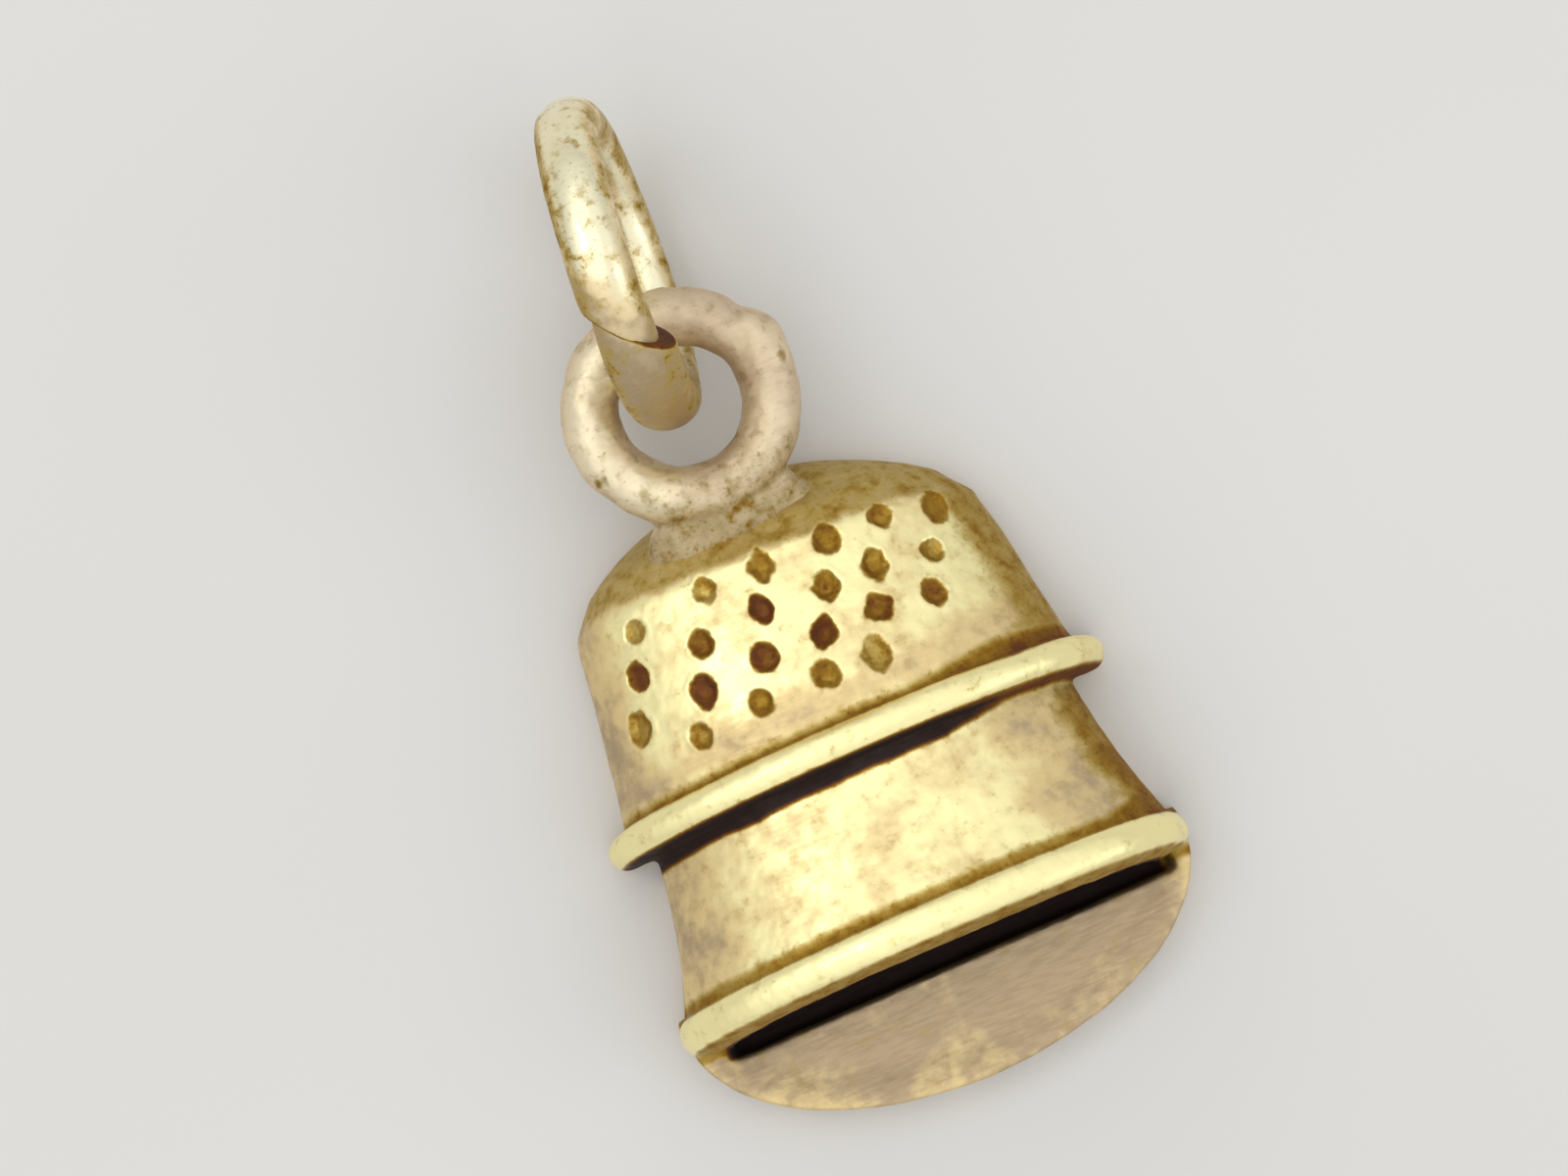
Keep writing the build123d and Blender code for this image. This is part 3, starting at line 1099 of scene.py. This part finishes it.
        # the waist's right side is left out as painted shade
        waist = 0.85 * at.waist * between(-0.92, -0.60, 0.45, 0.78, at.side + 0.15 * at.drift)
        lower = between(-0.32, -0.22, half - 0.05, half + 0.04, at.along)
        upper = between(-half - 0.02, 0.10 - half, half - 0.08, half + 0.02, at.along - self.up_bead_at)
        # the upper bead's right end is dimmed as painted shade
        upper = upper * (1.0 - 0.4 * at.far_right)
        rub_and_light = np.maximum.reduce([face, waist, lower, upper]) * smooth_step(-0.9, 0.1, at.height)
        edges = np.clip(-at.tight * 16.0, 0.0, 0.5) + np.clip(-at.wide * 2.0, 0.0, 0.3)
        rub_and_light = np.clip(rub_and_light + edges, 0.0, 1.0)
        # a painted highlight along the lip of the mouth
        return rub_and_light * (1.0 - 0.8 * at.lens * at.dish) + 0.08 * at.lens * (1.0 - at.dish)

    def dulled_and_shaded(self, at: Survey) -> np.ndarray:
        """How matt the far side of the mouth, the straight sides and the unworn rest have stayed, with
        painted shade on the straight sides, the dome and the cap's right side.

        Args:
            at: the measures of each vertex.

        Returns:
            The dulling and the painted shade at each vertex, from 0 to 1.
        """
        # painted shade: the straight sides, the dome and the cap's right side, turned from the light
        zones = [
            at.lens * (0.28 + 0.62 * at.dish),
            0.75 * (1.0 - at.top),
            0.45 * at.waist,
            0.50 * at.cap,
            0.60 * at.bevel,
            0.95 * at.cap_right,
        ]
        return np.maximum.reduce(zones)

    def painted(self, mesh: bpy.types.Mesh, points: np.ndarray) -> dict[Zone, np.ndarray]:
        """Where the blackening has stayed and painted shade falls, where handling has worn it off and light
        is painted on, and what lies matt between.

        Args:
            mesh: the casting.
            points: its vertices.

        Returns:
            The three measures of each vertex.
        """
        at = self.survey(mesh, points)
        return {Zone.BLACKENING_AND_SHADE: self.blackened_and_shaded(at), Zone.RUB_AND_LIGHT: self.rubbed_and_lit(at), Zone.DULL_AND_SHADE: self.dulled_and_shaded(at)}

    def build(self) -> bpy.types.Object:
        """Makes the casting.

        Returns:
            Its object, dressed and riding on its body.
        """
        mesh = merged("thimble_casting", [self.shell(), self.lens()], self.voxel, softening=5)
        self.refine(mesh)
        points = self.worked(read_points(mesh), read_normals(mesh))
        write_points(mesh, points)
        piece = finished_piece("thimble_casting", mesh, points, self.painted(mesh, points))
        piece.data.materials.clear()
        piece.data.materials.append(self.finish.make())
        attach(piece, "thimble")
        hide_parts("thimble_body")
        return piece


# ---------------------------------------------------------------- the hanging eye


@dataclass
class HangingEye:
    """A closed cast ring, flat over the crown, on a foot that spreads onto it. Sizes are in millimetres."""

    radius: float = 1.69
    wire: float = 0.575
    middle: tuple[float, float, float] = (-0.40, 11.0, 2.20)
    foot_at: float = 8.20  # where the foot starts inside the crown, and the height of its middle there
    foot_height: float = 1.35
    foot_half: tuple[float, float] = (1.85, 0.95)  # half sizes across and up, there and at the ring
    top_half: tuple[float, float] = (1.20, 0.50)
    foot_curve: float = 1.3  # 1 narrows it evenly, and more keeps it wide for longer
    foot_overlap: float = 0.15  # how far it runs into the ring's wire
    lump_at: float = math.radians(17.0)  # a lump and a nick that the mould left on the outside
    nick_at: float = math.radians(36.0)
    lump: float = 0.10  # their height
    lump_spread: float = 0.22  # and how far round they spread, in radians
    nick_spread: float = 0.10
    skin: tuple[Ripple, ...] = (
        Ripple(depth=0.075, size=1.3, seed=5.0, octaves=2),
        Ripple(depth=0.020, size=0.42, seed=6.0, octaves=3),
    )
    drawn_in: float = 0.015  # the smooth shape shrinks by this much under its unevenness
    voxel: float = 0.045
    finish: AntiqueBrass = field(
        default_factory=lambda: AntiqueBrass(
            "dull_cast_brass",
            bright=(0.86, 0.75, 0.52),
            gold=(0.78, 0.65, 0.45),
            dull_and_shade=(0.66, 0.52, 0.37),
            olive=(0.46, 0.36, 0.18),
            mottle=0.15,
            bright_roughness=0.44,
            dull_roughness=0.58,
            skin_depth=0.009,
        )
    )

    def loop(self) -> bpy.types.Mesh:
        """The ring itself."""
        rounds, sides = 160, 48
        rows = []
        for a in np.linspace(0.0, math.tau, rounds, endpoint=False):
            b = np.linspace(0.0, math.tau, sides, endpoint=False)
            out = self.radius + self.wire * np.cos(b)
            rows.append(np.stack([out * math.cos(a), out * math.sin(a), self.wire * np.sin(b)], axis=1))
        points = np.concatenate(rows) + np.array(self.middle)
        faces = lattice_faces(rounds, sides, closed=True)
        last = (rounds - 1) * sides
        faces += [(last + j, last + (j + 1) % sides, (j + 1) % sides, j) for j in range(sides)]
        return mesh_from("loop", points, faces)

    def foot(self) -> bpy.types.Mesh:
        """The foot, from inside the crown to the ring's near side, narrowing in a curve."""
        sides, rows = 64, 40
        turn = np.linspace(0.0, math.tau, sides, endpoint=False)
        end = self.middle[1] - self.radius + self.foot_overlap
        rings = []
        for t in np.linspace(0.0, 1.0, rows):
            share = t**self.foot_curve
            half_x = self.foot_half[0] + (self.top_half[0] - self.foot_half[0]) * share
            half_z = self.foot_half[1] + (self.top_half[1] - self.foot_half[1]) * share
            z = self.foot_height + (self.middle[2] - self.foot_height) * t
            y = self.foot_at + (end - self.foot_at) * t
            x = self.middle[0] + half_x * np.cos(turn)
            rings.append(np.stack([x, np.full(sides, y), z + half_z * np.sin(turn)], axis=1))
        points = np.concatenate(rings)
        faces = lattice_faces(rows, sides, closed=True)
        faces += [tuple(range(sides)), tuple(range(len(points) - sides, len(points)))]
        return mesh_from("foot", points, faces)

    def worked(self, points: np.ndarray, normals: np.ndarray) -> np.ndarray:
        """Gives the smooth eye the lumps of its mould.

        Args:
            points: the vertices.
            normals: their normals.

        Returns:
            The vertices' new places.
        """
        place = points - np.array(self.middle)
        turn = np.arctan2(place[:, 1], place[:, 0])
        outside = smooth_step(self.radius - 0.2, self.radius + 0.4, np.hypot(place[:, 0], place[:, 1]))
        lift = sum(ripple.lift(points) for ripple in self.skin) - self.drawn_in
        lift += outside * self.lump * np.exp(-(((turn - self.lump_at) / self.lump_spread) ** 2))
        lift -= outside * self.lump * np.exp(-(((turn - self.nick_at) / self.nick_spread) ** 2))
        return points + normals * lift[:, None]

    def painted(self, mesh: bpy.types.Mesh, points: np.ndarray) -> dict[Zone, np.ndarray]:
        """Where the blackening has stayed, with painted shade in the bore and under the ring; where handling
        has worn it off, with painted light on its left; and what lies matt between, with painted shade on
        its right.

        Args:
            mesh: the eye.
            points: its vertices.

        Returns:
            The three measures of each vertex.
        """
        tight = bend_of(mesh, points, 3)
        place = points - np.array(self.middle)
        drift = 0.5 * grain(points, 0.8, 7.0, 3)
        # painted shade in the bore and under the ring, and on its right; painted light on the left of its
        # top
        bore = smooth_step(self.radius - 0.25, self.radius - 0.55, np.hypot(place[:, 0], place[:, 1]))
        under = smooth_step(0.10, -0.35, place[:, 2])
        left = smooth_step(0.6, -1.6, place[:, 0])
        foot = smooth_step(-1.85, -2.25, place[:, 1] + 0.2 * drift)
        blackening_and_shade = np.clip(tight * 14.0, 0.0, 0.5) + 0.30 * bore * under + 0.09 * foot
        blackening_and_shade = blackening_and_shade + 0.30 * smooth_step(0.25, 0.42, drift)
        blackening_and_shade = blackening_and_shade + 0.13 * smooth_step(-0.8, -1.7, place[:, 1])
        rub_and_light = smooth_step(0.15, 0.50, place[:, 2]) * (0.25 + 0.65 * left) + np.clip(-tight * 14.0, 0.0, 0.4)
        dull_and_shade = 0.35 + 0.35 * under + 0.25 * foot + 0.25 * (1.0 - left)
        return {Zone.BLACKENING_AND_SHADE: np.clip(blackening_and_shade, 0.0, 1.0), Zone.RUB_AND_LIGHT: np.clip(rub_and_light, 0.0, 1.0), Zone.DULL_AND_SHADE: dull_and_shade}

    def build(self) -> bpy.types.Object:
        """Makes the eye.

        Returns:
            Its object, dressed and riding on its body.
        """
        mesh = merged("eye_ring", [self.loop(), self.foot()], self.voxel, softening=8)
        points = self.worked(read_points(mesh), read_normals(mesh))
        write_points(mesh, points)
        piece = finished_piece("eye_ring", mesh, points, self.painted(mesh, points))
        piece.data.materials.clear()
        piece.data.materials.append(self.finish.make())
        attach(piece, "thimble")
        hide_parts("hanging_eye")
        return piece


# ---------------------------------------------------------------- the jump ring


@dataclass
class JumpRing:
    """Flattened wire bent to a circle, with a slanting cut where its ends meet. Sizes are in millimetres."""

    radius: float = 2.75
    wire: tuple[float, float] = (0.515, 0.600)  # half sizes in the ring's plane and along its axis
    lean: float = math.radians(6.0)  # from upright, its top to the left
    turn: float = math.radians(4.5)  # from the charm's axis, its far end to the right
    middle: tuple[float, float] = (-0.42, 13.86)
    seam: float = 0.05  # width of the cut
    seam_at: float = math.radians(62.0)  # its place, from the ring's end over the eye up toward its top
    seam_slant: float = math.radians(40.0)  # from square across the wire
    seam_offset: float = 0.15  # how far the lower end has sprung out of line
    end_wear: float = 0.10  # how much the corners of the two ends are rounded off
    end_spread: float = 0.12  # how much wider the lower end was pinched
    rounds: int = 420
    sides: int = 56
    ripples: tuple[Ripple, ...] = (
        Ripple(depth=0.014, size=1.3, seed=9.0, octaves=2),
        Ripple(depth=0.005, size=0.35, seed=10.0, octaves=3),
    )
    drawn_in: float = 0.006  # the smooth wire shrinks by this much under its unevenness
    finish: AntiqueBrass = field(
        default_factory=lambda: AntiqueBrass(
            "rubbed_brass_wire",
            bright=(0.97, 0.90, 0.62),
            gold=(0.84, 0.68, 0.40),
            dull_and_shade=(0.48, 0.37, 0.23),
            mottle=0.20,
            bright_roughness=0.22,
            dull_roughness=0.48,
            skin_depth=0.005,
        )
    )

    @property
    def length(self) -> float:
        """Length of the wire."""
        return math.tau * self.radius

    def frame(self) -> tuple[np.ndarray, np.ndarray, np.ndarray, np.ndarray]:
        """The ring's middle, the way to its end over the eye, the way up in its plane, and its axis."""
        lean, turn = self.lean, self.turn
        axis = np.array([math.cos(lean) * math.cos(turn), -math.cos(lean) * math.sin(turn), math.sin(lean)])
        end = np.array([-math.sin(turn), -math.cos(turn), 0.0])
        up = np.cross(end, axis)
        up = up if up[2] > 0 else -up
        height = self.radius * math.cos(lean) + self.wire[0]
        return np.array([*self.middle, height]), end, up, axis

    def route(self) -> np.ndarray:
        """The wire's skin, in rows from one face of the cut to the other, and the middles of the two faces.

        Returns:
            The points, one row each.
        """
        middle, end, up, axis = self.frame()
        gap = self.seam / self.radius / 2 / math.cos(self.seam_slant)
        phase = np.linspace(0.0, math.tau, self.sides, endpoint=False)
        shift = -math.tan(self.seam_slant) * self.wire[1] / self.radius * np.sin(phase)
        rows = []
        for t in np.linspace(0.0, 1.0, self.rounds):
            before, after = t * self.length, (1.0 - t) * self.length
            worn = 1.0 - self.end_wear * math.exp(-min(t, 1.0 - t) * self.rounds / 1.6)
            spread = 1.0 + self.end_spread * math.exp(-((after / 3.0) ** 2))
            sprung = self.seam_offset * (math.exp(-after / 1.1) - 0.4 * math.exp(-before / 1.1))
            angle = self.seam_at + gap + shift + t * (math.tau - 2 * gap)
            out = self.radius + self.wire[0] * worn * np.cos(phase)
            along = out[:, None] * (np.cos(angle)[:, None] * end + np.sin(angle)[:, None] * up)
            beside = self.wire[1] * worn * spread * np.sin(phase) + sprung
            rows.append(middle + along + beside[:, None] * axis)
        return np.concatenate([*rows, np.array([rows[0].mean(0), rows[-1].mean(0)])])

    def skin(self, points: np.ndarray) -> bpy.types.Mesh:
        """The wire as one closed mesh, with a fan of faces on each face of the cut.

        Args:
            points: its skin and the middles of the two faces.

        Returns:
            The mesh.
        """
        faces = lattice_faces(self.rounds, self.sides, closed=True)
        last, tip = (self.rounds - 1) * self.sides, self.rounds * self.sides
        for j in range(self.sides):
            k = (j + 1) % self.sides
            faces += [(j, k, tip), (last + k, last + j, tip + 1)]
        return mesh_from("jump_ring_wire", points, faces)

    def painted(self, points: np.ndarray) -> dict[Zone, np.ndarray]:
        """A painted highlight along the wire's ridge, darker and mottled on its two sides, and matt near the
        cut and on its lower end, which carries painted shade where it dips into the eye.

        Args:
            points: the wire's vertices.

        Returns:
            The three measures of each vertex.
        """
        middle, _, _, axis = self.frame()
        places = np.append(np.repeat(np.linspace(0.0, 1.0, self.rounds), self.sides), [0.0, 1.0])
        above, below = places * self.length, (1.0 - places) * self.length
        drift = 0.5 * grain(points, 0.7, 11.0, 3)
        beside = (points - middle) @ axis / self.wire[1]
        lower = smooth_step(3.6, 2.9, below + 0.5 * drift)
        blackening_and_shade = 0.55 * smooth_step(0.09, 0.02, np.minimum(above, below))
        blackening_and_shade = blackening_and_shade + (0.26 + 0.30 * drift) * smooth_step(-0.45, -0.90, beside + 0.3 * drift)
        blackening_and_shade = blackening_and_shade + (0.18 + 0.30 * drift) * smooth_step(0.60, 0.95, beside + 0.3 * drift)
        # the lower end is dimmed as painted shade, where it dips into the eye
        dull_and_shade = 0.25 + 0.75 * lower + 0.45 * smooth_step(1.1, 0.3, above + 0.4 * drift)
        # the bright ridge is a painted highlight as well as wear
        rub_and_light = 0.95 * smooth_step(0.95, 0.50, np.abs(beside)) * (1.0 - lower) * smooth_step(0.3, 1.2, above)
        return {Zone.BLACKENING_AND_SHADE: blackening_and_shade, Zone.RUB_AND_LIGHT: rub_and_light, Zone.DULL_AND_SHADE: dull_and_shade}

    def build(self) -> bpy.types.Object:
        """Makes the ring.

        Returns:
            Its object, dressed and riding on its body.
        """
        points = self.route()
        mesh = self.skin(points)
        lift = sum(ripple.lift(points) for ripple in self.ripples) - self.drawn_in
        points = points + read_normals(mesh) * lift[:, None]
        piece = finished_piece("jump_ring_wire", mesh, points, self.painted(points))
        piece.data.materials.append(self.finish.make())
        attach(piece, "ring")
        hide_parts("jump_ring")
        return piece


# ---------------------------------------------------------------- the studio


@dataclass(frozen=True)
class Lamp:
    """One soft light, hung round the charm. Its bearing runs clockwise from the crown's direction."""

    name: str
    bearing: float
    height: float  # angle over the board
    power: float  # watts
    size: float = 0.8  # side of its square, in metres
    distance: float = 1.5
    tint: Colour = (1.0, 1.0, 1.0)

    def hang(self) -> None:
        """Adds the light, facing the charm."""
        lamp = bpy.data.lights.new(self.name, "AREA")
        lamp.shape = "SQUARE"
        lamp.size = self.size
        lamp.energy = self.power
        lamp.color = self.tint
        out, up = self.distance * math.cos(self.height), self.distance * math.sin(self.height)
        place = Vector((out * math.sin(self.bearing), out * math.cos(self.bearing), up))
        holder = bpy.data.objects.new(self.name, lamp)
        holder.location = place
        holder.rotation_mode = "QUATERNION"
        holder.rotation_quaternion = (-place).to_track_quat("-Z", "Y")
        holder.visible_camera = False
        bpy.context.scene.collection.objects.link(holder)


@dataclass
class Studio:
    """The floor, the lights and the camera. Sizes are in metres."""

    floor_size: float = 6.0
    roll: float = math.radians(23.6)  # the charm's axis leans this far to the left of upright in the picture
    lens: float = 180.0
    margin: float = 0.98  # height of the picture over the height of the charm's turned box
    middle_height: float = 0.3  # the height that this holds at, as a share of the charm's own
    zenith: Colour = (0.96, 0.97, 0.98)
    horizon: Colour = (0.58, 0.58, 0.57)
    sky_strength: float = 1.0
    board: PaleBoard = field(default_factory=PaleBoard)
    lamps: tuple[Lamp, ...] = (
        Lamp("key", math.radians(-38.0), math.radians(70.0), 3.4, size=1.9, tint=(1.0, 0.97, 0.92)),
        Lamp("spark", math.radians(-50.0), math.radians(55.0), 0.8, size=0.35, tint=(1.0, 0.97, 0.92)),
        Lamp("fill", math.radians(110.0), math.radians(35.0), 1.0, tint=(0.92, 0.95, 1.0)),
    )

    def floor(self) -> None:
        """Lays the board under the charm."""
        half = self.floor_size / 2
        corners = np.array([(-half, -half, 0), (half, -half, 0), (half, half, 0), (-half, half, 0)], float)
        mesh = mesh_from("board", corners, [(0, 1, 2, 3)])
        mesh.materials.append(self.board.make())
        board = bpy.data.objects.new("board", mesh)
        board.location.z = -2e-6
        bpy.context.scene.collection.objects.link(board)

    def sky(self) -> None:
        """Sets a plain dome, paler toward the horizon."""
        world = bpy.data.worlds.new("studio")
        world.use_nodes = True
        tree = world.node_tree
        background = tree.nodes["Background"]
        background.inputs["Strength"].default_value = self.sky_strength
        place = tree.nodes.new("ShaderNodeTexCoord")
        split = tree.nodes.new("ShaderNodeSeparateXYZ")
        ramp = tree.nodes.new("ShaderNodeValToRGB")
        low, high = ramp.color_ramp.elements
        low.position, low.color = 0.02, (*self.horizon, 1.0)
        high.position, high.color = 0.60, (*self.zenith, 1.0)
        tree.links.new(place.outputs["Generated"], split.inputs[0])
        tree.links.new(split.outputs["Z"], ramp.inputs[0])
        tree.links.new(ramp.outputs["Color"], background.inputs["Color"])
        bpy.context.scene.world = world

    def camera(self) -> None:
        """Looks straight down on the charm, turned so that its crown points to the upper left."""
        low, high = CAD_BOX
        middle = (low + high) / 2
        data = bpy.data.cameras.new("camera")
        data.lens = self.lens
        data.sensor_width = 36.0
        camera = bpy.data.objects.new("camera", data)
        size = high - low
        tall = size.y * math.cos(self.roll) + size.x * math.sin(self.roll)
        distance = tall * self.margin * self.lens / (data.sensor_width * 3 / 4)
        camera.location = (middle.x, middle.y, high.z * self.middle_height + distance)
        camera.rotation_euler = (0.0, 0.0, -self.roll)
        data.clip_start, data.clip_end = distance * 0.05, 20.0
        bpy.context.scene.collection.objects.link(camera)
        bpy.context.scene.camera = camera

    def build(self) -> None:
        """Sets up the whole studio."""
        self.floor()
        for lamp in self.lamps:
            lamp.hang()
        self.sky()
        self.camera()
        bpy.context.scene.view_settings.view_transform = "Standard"


def main() -> None:
    """Builds the charm piece by piece, and then the studio round it."""
    logging.basicConfig(level=logging.INFO, format="%(name)s: %(message)s")
    for maker in (ThimbleCasting(), HangingEye(), JumpRing()):
        piece = maker.build()
        log.info("%s has %d faces", piece.name, len(piece.data.polygons))
    Studio().build()


if __name__ == "__main__":
    main()
